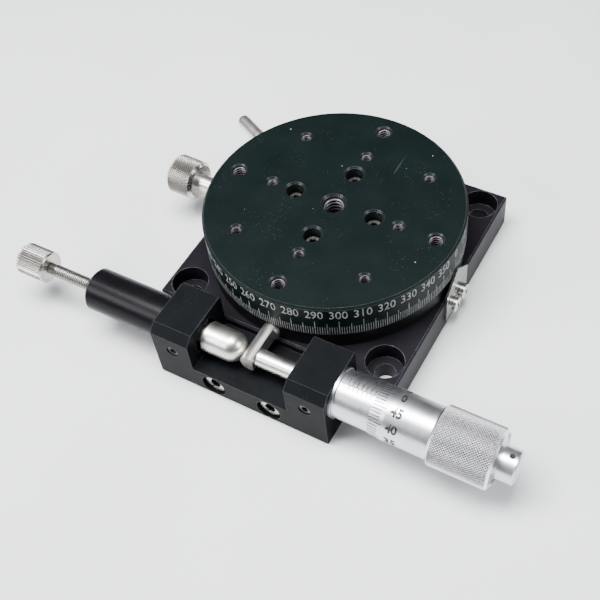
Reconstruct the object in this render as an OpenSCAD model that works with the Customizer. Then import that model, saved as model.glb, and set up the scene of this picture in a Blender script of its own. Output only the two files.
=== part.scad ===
// Rotation stage, 60 mm class: a graduated table on a ball bearing, coarse turning by hand and
// fine turning by a micrometer that pushes a tangent pin against a sprung plunger.
// Origin: on the table's axis, in the plane of the base's underside.
// +Z is up, +X runs along the micrometer towards its thimble, -Y faces the drive bracket.

/* [Base] */
// How far the base's sides stand out past the table's rim
base_margin = 0.2; // [0.2:0.1:3]
// Thickness of the base plate
base_h = 9; // [8.5:0.1:12]
// Distance from the base's sides to the centres of the four mounting holes
mount_inset = 5; // [5:0.1:7]
// Diameter of each mounting hole
mount_hole_d = 4.6; // [3.4:0.1:5.5]
// Diameter of the counterbore over each mounting hole
mount_counterbore_d = 8.5; // [7:0.1:9]
// Depth of the counterbore over each mounting hole
mount_counterbore_depth = 4.4; // [3:0.1:5]
// Chamfer on the edges of the milled parts
edge_chamfer = 0.4; // [0.2:0.1:0.8]

/* [Table] */
// Diameter of the rotating table
table_d = 59.6; // [56:0.1:59.6]
// Thickness of the rotating table
table_h = 9; // [8:0.1:12]
// Chamfer round the top edge of the table
table_chamfer = 0.45; // [0.2:0.05:1]
// Wall diameter of the tapped hole in the middle (M6)
centre_tap_d = 5; // [4.2:0.1:6]
// Wall diameter of the outer tapped holes (M4)
large_tap_d = 3.3; // [2.5:0.1:4.2]
// Distance from the table's rim to the centres of the M4 holes
large_tap_inset = 4.8; // [3.5:0.1:6]
// Wall diameter of the small tapped holes (M3)
small_tap_d = 2.5; // [2:0.1:3.3]
// Distance from each axis to the M3 holes on the square pattern
square_tap_offset = 16; // [14:0.5:17]
// Radius of the circle of the M3 holes on the axes
axis_tap_r = 16; // [14.5:0.5:18]
// Depth of the tapped holes in the table
tap_depth = 7.5; // [4:0.1:7.9]
// Chamfer at the mouth of the tapped hole in the middle
centre_tap_chamfer = 0.5; // [0.1:0.05:0.6]
// Chamfer at the mouths of the M4 and M3 holes
tap_chamfer = 0.35; // [0.1:0.05:0.5]
// Radius of the circle of the screws that hold the table to its hub
hub_screw_r = 10; // [8:0.1:11]
// Shank diameter of the hub screws (M2)
hub_screw_d = 2; // [1.6:0.1:2.5]
// Depth from the table's top to the heads of the hub screws
hub_screw_sink = 2.8; // [2:0.1:4.2]
// Chamfer at the mouths of the holes over the hub screws
hub_mouth_chamfer = 0.45; // [0.1:0.05:0.6]

/* [Bearing and hub] */
// Bore of the thin ball bearing
bearing_bore_d = 25; // [24:0.5:25.5]
// Thickness of the ball bearing from its bore to its outside
bearing_section = 3.5; // [3.2:0.1:4]
// Width of the ball bearing
bearing_w = 4; // [3.6:0.1:4.2]
// Ball diameter as a share of the bearing's thickness
ball_share = 0.57; // [0.5:0.01:0.6]
// Distance from ball to ball as a share of the ball diameter
ball_spacing = 1.7; // [1.5:0.1:2.4]
// Diameter of the hub's upper spigot, on which the fine ring turns
spigot_d = 36; // [34:0.5:40]

/* [Fine ring and lock] */
// Height of the space between base and table that holds the fine ring
ring_space = 4.5; // [4.3:0.1:5.5]
// How far the fine ring's rim stands back from the table's
ring_inset = 0.3; // [0.2:0.05:1]
// Angle of the lock screw round the stage, from +X
lock_angle = 178; // [170:1:190]
// Diameter of the lock screw's thread (M3)
lock_thread_d = 3; // [2.5:0.5:3]
// Diameter of the lock knob
lock_knob_d = 9.7; // [7:0.1:12]
// Length of the lock knob
lock_knob_l = 7.5; // [5:0.5:12]
// Length of the plain neck between ring and lock knob
lock_neck_l = 8.7; // [6:0.1:14]
// Diameter of the tangent pin and of the lock screw's neck
pin_d = 4.2; // [3.6:0.1:4.2]
// Distance from the pin's centre line to its flat
pin_flat = 0.95; // [0.5:0.05:1.5]
// How far the pin's free end reaches past the micrometer's axis
pin_past = 2.5; // [2:0.1:3.5]
// Diameter of the turning handle in the table's rim
handle_d = 3.3; // [2.5:0.1:3.3]
// How far the handle stands out of the table's rim
handle_out = 11; // [8:0.1:12]
// How far the handle is seated in the table's rim
handle_seat_l = 5.8; // [5:0.1:7]
// Angle of the turning handle round the table, from +X
handle_angle = 153; // [0:1:359]
// Height of the handle over the table's lower face
handle_rise = 5; // [5:0.1:5.5]

/* [Drive bracket] */
// Width of the bracket along the micrometer
bracket_w = 42.8; // [42:0.1:50]
// Depth of the bracket from the base's front face
bracket_depth = 14; // [13.5:0.1:18]
// Height of the bracket's two towers
bracket_h = 16.6; // [16.5:0.1:16.9]
// Width of the gap between the towers
bracket_gap = 23.7; // [22:0.1:25]
// Height of the bridge between the towers
bridge_h = 6.7; // [6:0.1:7]
// Sideways offset of the bracket from the table's axis
bracket_shift = -0.5; // [-1:0.1:0]
// Chamfer on the towers' upper front edge
tower_chamfer = 2; // [1:0.1:2.5]
// Distance between the two bracket screws
bracket_screw_pitch = 14; // [10:0.5:16]
// Height of the bracket screws over the underside
bracket_screw_z = 3.3; // [3.2:0.1:3.4]
// Shank diameter of the bracket screws (M3)
bracket_screw_d = 3; // [2.5:0.5:3]
// Distance between the two clamping set screws
set_screw_pitch = 33; // [32:0.5:34]
// Height of the clamping set screws over the underside
set_screw_z = 10.4; // [10:0.1:11.5]
// Distance from the base's front face to the micrometer's axis
drive_out = 7.2; // [7:0.1:8]

/* [Micrometer] */
// Diameter of the micrometer's clamping stem
stem_d = 9.5; // [8:0.1:9.7]
// Diameter of the graduated sleeve
sleeve_d = 10.6; // [10:0.1:10.8]
// Diameter of the thimble
thimble_d = 11.5; // [11.3:0.1:12]
// Diameter of the knurled grip
grip_d = 13.1; // [12.6:0.1:13.4]
// Length of the knurled grip
grip_l = 12.9; // [8:0.1:14]
// Distance from the bracket to the thimble's graduated edge, as shown
thimble_out = 8.75; // [8:0.05:9.5]
// Length of the thimble from its graduated edge to its end
thimble_l = 26; // [24:0.5:30]
// Diameter of the end cap
cap_d = 7.3; // [6:0.1:9]
// Length of the end cap
cap_l = 3.5; // [3:0.1:6]
// Diameter of the spindle
spindle_d = 4; // [3.5:0.1:4.4]
// Travel of the micrometer
micrometer_travel = 6.5; // [5:0.1:6.5]

/* [Spring plunger] */
// Diameter of the plunger's head and body
plunger_d = 7; // [6:0.1:7.2]
// Length of the plunger's head, with its rounded nose
plunger_head_l = 9.85; // [9:0.05:10]
// Diameter of the neck between the plunger's head and body
plunger_neck_d = 4.4; // [3:0.1:5]
// Length of that neck
plunger_neck_l = 2.2; // [1:0.1:2.4]
// Length of the plunger's guided body
plunger_body_l = 4.8; // [3:0.1:5]
// Outer diameter of the plunger's housing
housing_d = 10; // [9.6:0.1:10.2]
// Length of the plunger's housing
housing_l = 27.9; // [27.5:0.1:32]
// Diameter of the thread that adjusts the spring seat (M3)
preload_screw_d = 3; // [2.5:0.1:3.5]
// Length of screw that shows between housing and knob
preload_screw_out = 13.6; // [10:0.1:18]
// Diameter of the preload knob
preload_knob_d = 7.6; // [6:0.1:10]
// Length of the preload knob
preload_knob_l = 7.6; // [5:0.1:12]
// Number of grooves round the preload knob
preload_knob_grooves = 36; // [24:1:48]
// Wire diameter of the plunger's spring
spring_wire_d = 0.6; // [0.4:0.1:0.7]
// Number of turns of the plunger's spring
spring_turns = 5.5; // [4:0.5:6]

/* [Index plate] */
// Width of the index plate
index_w = 10.8; // [9:0.1:14]
// Thickness of the index plate
index_t = 0.5; // [0.3:0.05:0.8]
// Height of the index plate's lower edge over the underside
index_bottom = 2.7; // [1:0.1:3]
// Height of the index plate's point over the base's top face
index_point_rise = 6.4; // [5:0.1:6.8]
// Height of the index plate's shoulders over the base's top face
index_shoulder_rise = 1.9; // [0.5:0.1:3]
// Distance between the index plate's two screws
index_screw_pitch = 4.2; // [4:0.1:6]
// Height of the index plate's screws over the underside
index_screw_z = 5.6; // [4.8:0.1:6]

/* [Hidden] */
$fn = 96;

// Clearances, per side unless the name says otherwise.
fit = 0.03;              // turned part held in its seat
run = 0.05;              // part that turns or slides in its guide
loose = 0.2;             // shank in a plain hole
face_gap = 0.15;         // between faces that pass each other
contact_gap = 0.05;      // between parts that press on each other
eps = 0.01;

// Sizes that follow the table's diameter.
base_size = table_d + 2 * base_margin;
mount_pitch = base_size - 2 * mount_inset;
large_tap_r = table_d / 2 - large_tap_inset;
ring_d = table_d - 2 * ring_inset;
drive_offset = base_size / 2 + drive_out;
pin_reach = drive_offset + pin_past;
handle_reach = table_d / 2 + handle_out;
handle_seat_r = table_d / 2 - handle_seat_l;

// Sizes that follow the bearing's bore and thickness.
bearing_outer_d = bearing_bore_d + 2 * bearing_section;
ball_d = ball_share * bearing_section;
ball_ring_r = (bearing_bore_d + bearing_outer_d) / 4;
ball_count = floor(2 * PI * ball_ring_r / (ball_spacing * ball_d));
race_wall = 0.3 * bearing_section;

// Heights of the stack.
ring_z = base_h + face_gap;
ring_h = ring_space - 2 * face_gap - 0.05;
table_z = base_h + ring_space;
table_top = table_z + table_h;
drive_z = base_h + pin_d / 2 + 0.1;
drive_y = -drive_offset;
front_y = -base_size / 2;
side_x = base_size / 2;

// Bearing seat, worked down from the top face of the base.
lip_h = 1.5;
race_top = base_h - lip_h;
race_bottom = race_top - bearing_w;
seat_r = bearing_outer_d / 2 + fit;
lip_r = bearing_outer_d / 2 - 1.6;
retainer_h = 1.9;
retainer_r = seat_r + 0.6;
floor_recess_r = retainer_r + 0.6;
floor_recess_h = race_bottom - retainer_h - 0.1;
ball_r = ball_d / 2;
ball_z = race_bottom + bearing_w / 2;
groove_r = ball_r + 0.02;
hub_thread_r = bearing_bore_d / 2 - 0.9;
hub_screw_tip = race_top + 1;
shoulder_r = bearing_bore_d / 2 + race_wall - 0.2;

// Screw proportions, as shares of the thread diameter that the standards give.
function cap_head_d(d) = 1.82 * d;
function cap_socket(d) = 0.82 * d;
counterbore_play = 0.2;
bracket_screw_sink = 0.8;
bracket_thread_l = 8;

// The pin's shank, seated in the fine ring.
pin_shank_d = 3;
pin_root_r = spigot_d / 2 + 3;

// Knobs are drilled from their inner end, and their screws stop just short of the bottom.
knob_floor = 1.9;
screw_end_gap = 0.1;
screw_tip_chamfer = 0.3;

// Lock screw, from the ring outwards.
shoe_l = 2;
shoe_gap = 0.2;
lock_tip_r = spigot_d / 2 + shoe_gap + shoe_l + contact_gap;
lock_neck_r = ring_d / 2 + 0.4;
lock_knob_r = lock_neck_r + lock_neck_l;

// Bracket, from its middle outwards.
left_gap_x = bracket_shift - bracket_gap / 2;
right_gap_x = bracket_shift + bracket_gap / 2;
left_face_x = bracket_shift - bracket_w / 2;
right_face_x = bracket_shift + bracket_w / 2;
bracket_front = front_y - bracket_depth;
plunger_window_d = plunger_d + 1;
housing_step = 2;
set_screw_d = 3;
set_screw_sink = 0.3;
drive_tap_l = drive_y - bracket_front;
set_screw_l = drive_tap_l - housing_d / 2 - set_screw_sink - 0.15;

// Micrometer, along X.
collar_l = 0.55;
collar_d = sleeve_d + 0.8;
groove_l = 0.2;
sleeve_x = right_face_x + collar_l + groove_l;
sleeve_end = right_face_x + thimble_out + thimble_l - micrometer_travel - 3;
spindle_x = pin_flat + contact_gap;
spindle_tail_r = spindle_d / 2 - 0.4;
thread_d = spindle_d + 1;
cavity_r = thread_d / 2 + 1.1;
cavity_x = right_face_x - 1;
nut_l = 8;
thimble_x = right_face_x + thimble_out;
thimble_end = thimble_x + thimble_l;
thimble_wall_x = thimble_end - 2.4;
thimble_bore_r = sleeve_d / 2 + 0.08;
bevel_l = 3.2;
grip_x = thimble_end - grip_l;
cap_neck_l = 0.8;

// Plunger, along X.
nose_x = -pin_d / 2 - contact_gap;
plunger_r = plunger_d / 2;
head_x = nose_x - plunger_head_l;
body_x = head_x - plunger_neck_l;
plunger_rear_x = body_x - plunger_body_l;
housing_end_x = left_gap_x - housing_step;
housing_x = housing_end_x - housing_l;
housing_wall = 5.8;
pocket_x = housing_x + housing_wall;
seat_rear_x = pocket_x + 2.1;
seat_t = 1.4;
spring_spigot_r = 1.6;
spring_spigot_l = 1.5;
seat_x = seat_rear_x + seat_t;
preload_knob_x = housing_x - preload_screw_out;

// Index plate.
index_point_z = base_h + index_point_rise;
index_shoulder_z = base_h + index_shoulder_rise;
index_screw_d = 2;
index_thread_l = 5;

// A block from corner a to corner b, with a chamfer c along all its edges.
module milled_block(a, b, c) {
  s = b - a;
  translate(a) intersection() {
    linear_extrude(s[2]) cut_corner_rect(s[0], s[1], c);
    translate([0, s[1], 0]) rotate([90, 0, 0]) linear_extrude(s[1]) cut_corner_rect(s[0], s[2], c);
    rotate([90, 0, 90]) linear_extrude(s[0]) cut_corner_rect(s[1], s[2], c);
  }
}

// A rectangle from the origin, with its corners cut at 45 degrees.
module cut_corner_rect(w, h, c) {
  polygon([[c, 0], [w - c, 0], [w, c], [w, h - c], [w - c, h], [c, h], [0, h - c], [0, c]]);
}

// A turned part: points are [radius, distance along the axis].
module turned(points) {
  rotate_extrude() polygon(points);
}

// Puts a part's own axis on the micrometer's axis, at x.
module on_drive(x = 0) {
  translate([x, drive_y, drive_z]) rotate([0, 90, 0]) children();
}

// Puts a part's own axis on a spoke of the stage, pointing outwards at this height.
module on_spoke(angle, z) {
  rotate([0, 0, angle]) translate([0, 0, z]) rotate([0, 90, 0]) children();
}

// Puts a part's own axis on a line along +Y that starts at x, y, z.
module into_front(x, y, z) {
  translate([x, y, z]) rotate([-90, 0, 0]) children();
}

module ring(r_out, r_in, h) {
  difference() {
    cylinder(r = r_out, h = h);
    translate([0, 0, -eps]) cylinder(r = r_in, h = h + 2 * eps);
  }
}

// A socket head cap screw along -Z: the head's underside is at z = 0.
module cap_screw(d, shank_l) {
  head_r = cap_head_d(d) / 2;
  difference() {
    turned([[0, -shank_l], [d / 2 - 0.2, -shank_l], [d / 2, 0.2 - shank_l], [d / 2, 0],
            [head_r, 0], [head_r, d - 0.2], [head_r - 0.2, d], [0, d]]);
    translate([0, 0, d * 0.45]) cylinder(d = cap_socket(d) * 2 / sqrt(3), h = d, $fn = 6);
  }
}

// A tapped hole that opens at z = 0 and runs down, with its mouth chamfered by c.
module tapped_hole(d, c = tap_chamfer) {
  translate([0, 0, -tap_depth]) cylinder(d = d, h = tap_depth + eps);
  translate([0, 0, -c]) cylinder(d1 = d, d2 = d + 2 * c + 2 * eps, h = c + eps);
}

module at_corners(offset) {
  for (x = [-offset, offset], y = [-offset, offset]) translate([x, y, 0]) children();
}

module on_circle(r, count) {
  for (i = [0 : count - 1]) rotate([0, 0, i * 360 / count]) translate([r, 0, 0]) children();
}

module at_bracket_screws(y) {
  for (side = [-1, 1])
    into_front(bracket_shift + side * bracket_screw_pitch / 2, y, bracket_screw_z) children();
}

module at_set_screws(y) {
  for (side = [-1, 1])
    into_front(bracket_shift + side * set_screw_pitch / 2, y, set_screw_z) children();
}

module at_index_screws(x) {
  for (side = [-1, 1])
    translate([x, side * index_screw_pitch / 2, index_screw_z]) rotate([0, 90, 0]) children();
}

module base_plate() {
  half = base_size / 2;
  color("#2b2a30") difference() {
    milled_block([-half, -half, 0], [half, half, base_h], edge_chamfer);
    translate([0, 0, -eps]) cylinder(r = floor_recess_r, h = floor_recess_h + eps);
    cylinder(r = retainer_r + fit, h = race_bottom);
    cylinder(r = seat_r, h = race_top);
    cylinder(r = lip_r, h = base_h + eps);
    at_corners(mount_pitch / 2) {
      translate([0, 0, -eps]) cylinder(d = mount_hole_d, h = base_h);
      translate([0, 0, base_h - mount_counterbore_depth])
        cylinder(d = mount_counterbore_d, h = mount_counterbore_depth + eps);
    }
    at_bracket_screws(front_y - eps) cylinder(d = bracket_screw_d + 2 * fit, h = bracket_thread_l + 1);
    at_index_screws(side_x - index_thread_l) cylinder(d = index_screw_d + 2 * fit, h = index_thread_l + eps);
  }
}

module bearing_outer_race() {
  color("#c9ccd0") translate([0, 0, race_bottom]) difference() {
    ring(bearing_outer_d / 2, bearing_outer_d / 2 - race_wall, bearing_w);
    ball_groove();
  }
}

module bearing_inner_race() {
  color("#c9ccd0") translate([0, 0, race_bottom]) difference() {
    ring(bearing_bore_d / 2 + race_wall, bearing_bore_d / 2, bearing_w);
    ball_groove();
  }
}

// The ring-shaped track that the balls run in, at half the bearing's width.
module ball_groove() {
  translate([0, 0, bearing_w / 2]) rotate_extrude() translate([ball_ring_r, 0]) circle(r = groove_r);
}

module bearing_balls() {
  color("#e3e6ea") on_circle(ball_ring_r, ball_count) translate([0, 0, ball_z]) sphere(d = ball_d, $fn = 32);
}

module bearing_cage() {
  cage_h = ball_d * 1.3;
  cage_wall = 0.4;
  color("#b08d3c") difference() {
    translate([0, 0, ball_z - cage_h / 2])
      ring(ball_ring_r + cage_wall / 2, ball_ring_r - cage_wall / 2, cage_h);
    on_circle(ball_ring_r, ball_count) translate([0, 0, ball_z]) sphere(r = ball_r + run, $fn = 32);
  }
}

// The threaded ring that holds the outer race up against the lip of the base.
module bearing_retainer() {
  notch = 2;
  color("#3a3a3e") translate([0, 0, race_bottom - retainer_h]) difference() {
    ring(retainer_r, seat_r - 1.5, retainer_h);
    on_circle(retainer_r - 1, 4) translate([-2, -notch / 2, -eps]) cube([1.6, notch, 1]);
  }
}

// The nut that draws the hub's shoulder down on the inner race.
module hub_nut() {
  notch = 1.6;
  color("#8d8f94") translate([0, 0, race_bottom - retainer_h]) difference() {
    ring(shoulder_r, hub_thread_r + fit, retainer_h);
    on_circle(shoulder_r - 0.9, 4) translate([-0.1, -notch / 2, -eps]) cube([1.6, notch, 0.9]);
  }
}

module table_hub() {
  journal_r = bearing_bore_d / 2 - 0.01;
  hub_bottom = race_bottom - retainer_h;
  color("#9a9da1") difference() {
    turned([[0, hub_bottom], [hub_thread_r, hub_bottom], [hub_thread_r, race_bottom],
            [journal_r, race_bottom], [journal_r, race_top], [shoulder_r, race_top],
            [shoulder_r, ring_z], [spigot_d / 2, ring_z], [spigot_d / 2, table_z], [0, table_z]]);
    on_circle(hub_screw_r, 4) translate([0, 0, hub_screw_tip - 1])
      cylinder(d = hub_screw_d + 2 * fit, h = table_z);
  }
}

module table_plate() {
  r = table_d / 2;
  lower_chamfer = 0.25;
  head_seat = table_top - hub_screw_sink - hub_screw_d;
  counterbore_r = cap_head_d(hub_screw_d) / 2 + counterbore_play;
  c = hub_mouth_chamfer;
  color("#2a2f33") difference() {
    turned([[0, table_z], [r - lower_chamfer, table_z], [r, table_z + lower_chamfer],
            [r, table_top - table_chamfer], [r - table_chamfer, table_top], [0, table_top]]);
    translate([0, 0, table_top]) {
      tapped_hole(centre_tap_d, centre_tap_chamfer);
      on_circle(large_tap_r, 4) tapped_hole(large_tap_d);
      on_circle(axis_tap_r, 4) tapped_hole(small_tap_d);
      at_corners(square_tap_offset) tapped_hole(small_tap_d);
    }
    on_circle(hub_screw_r, 4) {
      translate([0, 0, table_z - eps]) cylinder(d = hub_screw_d + 2 * loose, h = table_h);
      translate([0, 0, head_seat]) cylinder(r = counterbore_r, h = table_h);
      translate([0, 0, table_top - c])
        cylinder(r1 = counterbore_r, r2 = counterbore_r + c + eps, h = c + eps);
    }
    on_spoke(handle_angle, table_z + handle_rise)
      translate([0, 0, handle_seat_r]) cylinder(d = handle_d + 2 * fit, h = r);
  }
}

module table_screws() {
  head_seat = table_top - hub_screw_sink - hub_screw_d;
  color("#a9acb0") on_circle(hub_screw_r, 4) translate([0, 0, head_seat])
    cap_screw(hub_screw_d, head_seat - hub_screw_tip);
}

// The rod that the hand turns the table by, with a rounded end.
module handle_rod() {
  handle_r = handle_d / 2;
  color("#d5d7da") on_spoke(handle_angle, table_z + handle_rise) {
    translate([0, 0, handle_seat_r + 0.1])
      cylinder(r = handle_r, h = handle_reach - handle_r - handle_seat_r - 0.1);
    translate([0, 0, handle_reach - handle_r]) sphere(r = handle_r);
  }
}

// The ring between base and table that the micrometer turns.
module fine_ring() {
  color("#1f2123") difference() {
    translate([0, 0, ring_z]) ring(ring_d / 2, spigot_d / 2 + run, ring_h);
    on_spoke(lock_angle, drive_z) cylinder(d = lock_thread_d + 2 * run, h = ring_d);
    on_spoke(-90, drive_z) translate([0, 0, pin_root_r]) cylinder(d = pin_shank_d + 2 * fit, h = ring_d);
  }
}

// A shouldered pin with a flat, which the spindle pushes and the plunger pushes back.
module tangent_pin() {
  color("#d9dbde") {
    on_spoke(-90, drive_z) translate([0, 0, pin_root_r + 0.1])
      cylinder(d = pin_shank_d, h = ring_d / 2 - pin_root_r);
    difference() {
      on_spoke(-90, drive_z) translate([0, 0, ring_d / 2 + 0.03])
        cylinder(d = pin_d, h = pin_reach - ring_d / 2 - 0.03);
      translate([pin_flat, -pin_reach - 1, drive_z - pin_d])
        cube([pin_d, pin_reach - ring_d / 2 + 1 - 1.2, 2 * pin_d]);
    }
  }
}

module lock_shoe() {
  color("#c2a14a") on_spoke(lock_angle, drive_z)
    translate([0, 0, spigot_d / 2 + shoe_gap]) cylinder(d = lock_thread_d - 0.1, h = shoe_l);
}

module lock_screw() {
  thread_r = lock_thread_d / 2;
  neck_r = pin_d / 2;
  tang_r = thread_r - 0.3;
  tang_end = lock_knob_r + lock_knob_l - knob_floor - screw_end_gap;
  color("#c4c6c9") on_spoke(lock_angle, drive_z)
    turned([[0, lock_tip_r], [thread_r - screw_tip_chamfer, lock_tip_r],
            [thread_r, lock_tip_r + screw_tip_chamfer],
            [thread_r, lock_neck_r], [neck_r, lock_neck_r], [neck_r, lock_knob_r],
            [tang_r, lock_knob_r], [tang_r, tang_end], [0, tang_end]]);
}

module lock_knob() {
  knob_r = lock_knob_d / 2;
  bevel = 0.8;
  hole_r = lock_thread_d / 2 - 0.3 + fit;
  end = lock_knob_r + lock_knob_l;
  color("#cfcfcb") on_spoke(lock_angle, drive_z)
    turned([[hole_r, lock_knob_r], [knob_r - bevel, lock_knob_r], [knob_r, lock_knob_r + bevel],
            [knob_r, end - bevel], [knob_r - bevel, end], [0, end], [0, end - knob_floor],
            [hole_r, end - knob_floor]]);
}

// The U-shaped block that carries the micrometer and the plunger.
module drive_bracket() {
  head_r = cap_head_d(bracket_screw_d) / 2 + counterbore_play;
  window_l = housing_step + 2 * eps;
  color("#25272a") difference() {
    rotate([90, 0, 90]) translate([0, 0, left_face_x]) linear_extrude(bracket_w) tower_profile();
    translate([left_gap_x, bracket_front - 1, bridge_h])
      cube([bracket_gap, bracket_depth + 2, bracket_h]);
    at_bracket_screws(bracket_front - eps) {
      cylinder(r = head_r, h = bracket_screw_sink + bracket_screw_d + eps);
      cylinder(d = bracket_screw_d + 2 * loose, h = bracket_depth + 1);
    }
    at_set_screws(bracket_front - eps) cylinder(d = set_screw_d + 2 * fit, h = drive_tap_l);
    on_drive(left_face_x - eps) cylinder(d = housing_d + 2 * fit, h = housing_end_x - left_face_x + eps);
    on_drive(housing_end_x - eps) cylinder(d = plunger_window_d, h = window_l);
    on_drive(right_gap_x - eps) cylinder(d = stem_d + 2 * fit, h = right_face_x - right_gap_x + 2 * eps);
  }
}

// The bracket's outline seen along X, as [y, z].
module tower_profile() {
  c = edge_chamfer;
  t = tower_chamfer;
  polygon([[bracket_front + c, 0], [front_y - c, 0], [front_y, c], [front_y, bracket_h - c],
           [front_y - c, bracket_h], [bracket_front + t, bracket_h],
           [bracket_front, bracket_h - t], [bracket_front, c]]);
}

module bracket_screws() {
  shank_l = bracket_depth - bracket_screw_sink - bracket_screw_d + bracket_thread_l;
  color("#b9bcc0") at_bracket_screws(bracket_front + bracket_screw_sink + bracket_screw_d)
    rotate([180, 0, 0]) cap_screw(bracket_screw_d, shank_l);
}

module set_screws() {
  color("#55585c") at_set_screws(bracket_front + set_screw_sink) difference() {
    cylinder(d = set_screw_d, h = set_screw_l);
    translate([0, 0, -eps]) cylinder(d = set_screw_d * 0.5 * 2 / sqrt(3), h = set_screw_l * 0.7, $fn = 6);
  }
}

// The pointer plate that reads the table's scale.
module index_plate() {
  half = index_w / 2;
  color("#c8cacb") difference() {
    translate([side_x, 0, 0]) rotate([90, 0, 90]) linear_extrude(index_t)
      polygon([[-half, index_bottom], [half, index_bottom], [half, index_shoulder_z],
               [0, index_point_z], [-half, index_shoulder_z]]);
    at_index_screws(side_x - eps) cylinder(d = index_screw_d + loose, h = index_t + 2 * eps);
  }
}

module index_screws() {
  head_r = index_screw_d * 0.9;
  head_h = index_screw_d * 0.7;
  color("#c3c6c9") at_index_screws(side_x + index_t) difference() {
    intersection() {
      union() {
        translate([0, 0, 1 - index_t - index_thread_l])
          cylinder(d = index_screw_d, h = index_t + index_thread_l);
        cylinder(r = head_r, h = head_h);
      }
      translate([0, 0, head_h - 5 * head_r]) sphere(r = 5 * head_r);
    }
    for (turn = [0, 90]) rotate([0, 0, turn + 20])
      translate([-head_r * 0.55, -0.22, head_h * 0.45]) cube([head_r * 1.1, 0.44, head_h]);
  }
}

// The fixed part of the micrometer: stem, collar and graduated sleeve, bored for the spindle.
module micrometer_sleeve() {
  stem_r = stem_d / 2;
  sleeve_r = sleeve_d / 2;
  guide_r = spindle_d / 2 + 0.03;
  stem_x = right_gap_x + 0.3;
  color("#cdd0d3") on_drive()
    turned([[guide_r, stem_x], [stem_r - 0.3, stem_x], [stem_r, stem_x + 0.3], [stem_r, right_face_x],
            [collar_d / 2, right_face_x], [collar_d / 2, right_face_x + collar_l],
            [sleeve_r - 0.3, right_face_x + collar_l], [sleeve_r - 0.3, sleeve_x],
            [sleeve_r, sleeve_x], [sleeve_r, sleeve_end], [cavity_r, sleeve_end],
            [cavity_r, cavity_x], [guide_r, cavity_x]]);
}

// The nut that the spindle's thread runs in, with slots to take up play.
module micrometer_nut() {
  color("#b5975a") on_drive(sleeve_end - nut_l) difference() {
    ring(cavity_r - 0.02, thread_d / 2 + run, nut_l);
    for (turn = [0, 60, 120]) rotate([0, 0, turn])
      translate([-cavity_r - 1, -0.25, nut_l - 4]) cube([2 * cavity_r + 2, 0.5, 5]);
  }
}

module spindle() {
  spindle_r = spindle_d / 2;
  thread_x = cavity_x + micrometer_travel + 1;
  tail_x = thimble_wall_x - 0.2;
  tail_end = thimble_end - 0.2;
  color("#dcdee1") on_drive()
    turned([[0, spindle_x], [spindle_r - 0.4, spindle_x], [spindle_r, spindle_x + 0.4],
            [spindle_r, thread_x], [thread_d / 2, thread_x + 0.5], [thread_d / 2, tail_x],
            [spindle_tail_r, tail_x], [spindle_tail_r, tail_end], [0, tail_end]]);
}

// The turning barrel, bevelled to its graduated edge.
module thimble() {
  thimble_r = thimble_d / 2;
  edge_r = thimble_bore_r + 0.12;
  color("#d2d5d8") on_drive()
    turned([[thimble_bore_r, thimble_x], [edge_r, thimble_x], [thimble_r, thimble_x + bevel_l],
            [thimble_r, thimble_end], [spindle_tail_r + run, thimble_end],
            [spindle_tail_r + run, thimble_wall_x], [thimble_bore_r, thimble_wall_x]]);
}

module thimble_grip() {
  grip_r = grip_d / 2;
  bevel = 0.45;
  end = thimble_end + 0.3;
  color("#d8d8d5") on_drive()
    turned([[thimble_d / 2 + 0.01, grip_x], [grip_r - bevel, grip_x], [grip_r, grip_x + bevel],
            [grip_r, end - bevel], [grip_r - bevel, end], [thimble_d / 2 + 0.01, end]]);
}

module end_cap() {
  cap_r = cap_d / 2;
  neck_r = cap_r - 0.5;
  cap_x = thimble_end + cap_neck_l;
  bevel = 0.3;
  wrench_hole_d = 1.2;
  color("#d0d3d6") difference() {
    on_drive()
      turned([[0, thimble_end], [neck_r, thimble_end], [neck_r, cap_x], [cap_r, cap_x],
              [cap_r, cap_x + cap_l - bevel], [cap_r - bevel, cap_x + cap_l], [0, cap_x + cap_l]]);
    translate([cap_x + cap_l * 0.55, drive_y, drive_z]) cylinder(d = wrench_hole_d, h = cap_d);
  }
}

module plunger_housing() {
  outer_r = housing_d / 2;
  bevel = 0.6;
  color("#232527") on_drive()
    turned([[preload_screw_d / 2 + run, housing_x], [outer_r - bevel, housing_x],
            [outer_r, housing_x + bevel], [outer_r, housing_end_x], [plunger_r + run, housing_end_x],
            [plunger_r + run, pocket_x], [preload_screw_d / 2 + run, pocket_x]]);
}

// Guided body, neck and head in one piece, with a half-round nose.
module plunger() {
  neck_r = plunger_neck_d / 2;
  bevel = 0.6;
  spigot_x = plunger_rear_x - spring_spigot_l;
  color("#dadcdf") {
    on_drive()
      turned([[0, spigot_x], [spring_spigot_r, spigot_x], [spring_spigot_r, plunger_rear_x],
              [plunger_r, plunger_rear_x], [plunger_r, body_x], [neck_r, body_x], [neck_r, head_x],
              [plunger_r - bevel, head_x], [plunger_r, head_x + bevel],
              [plunger_r, nose_x - plunger_r], [0, nose_x - plunger_r]]);
    on_drive(nose_x - plunger_r) sphere(r = plunger_r);
  }
}

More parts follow.
